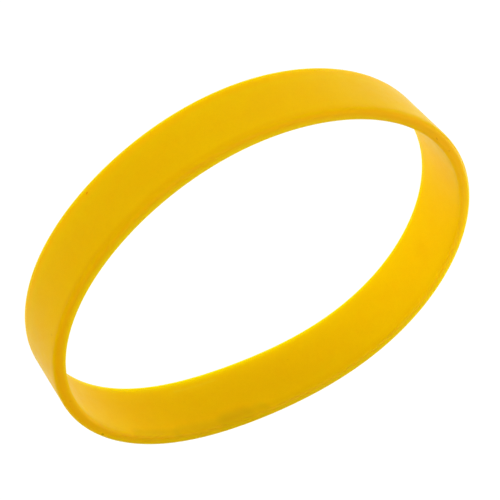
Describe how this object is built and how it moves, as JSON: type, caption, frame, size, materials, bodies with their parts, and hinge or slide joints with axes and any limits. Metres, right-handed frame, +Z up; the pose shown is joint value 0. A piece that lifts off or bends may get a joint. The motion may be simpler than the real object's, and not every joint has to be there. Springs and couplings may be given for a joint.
{
  "type": "silicone wristband",
  "caption": "Plain endless silicone wristband: a flat moulded strip with rounded rims that stretches over the hand.",
  "frame": {"origin": "on the surface that the loop lies on, under the middle of its outer size", "axes": "+Z up along the loop's axis, from the lower rim to the upper one; +X along the loop's long diameter"},
  "size_m": [0.0744, 0.0614, 0.012],
  "materials": {
    "silicone": "warm yellow silicone, coloured through, with a soft satin moulded skin"
  },
  "bodies": {
    "root": {"band": "silicone"}
  },
  "joints": []
}
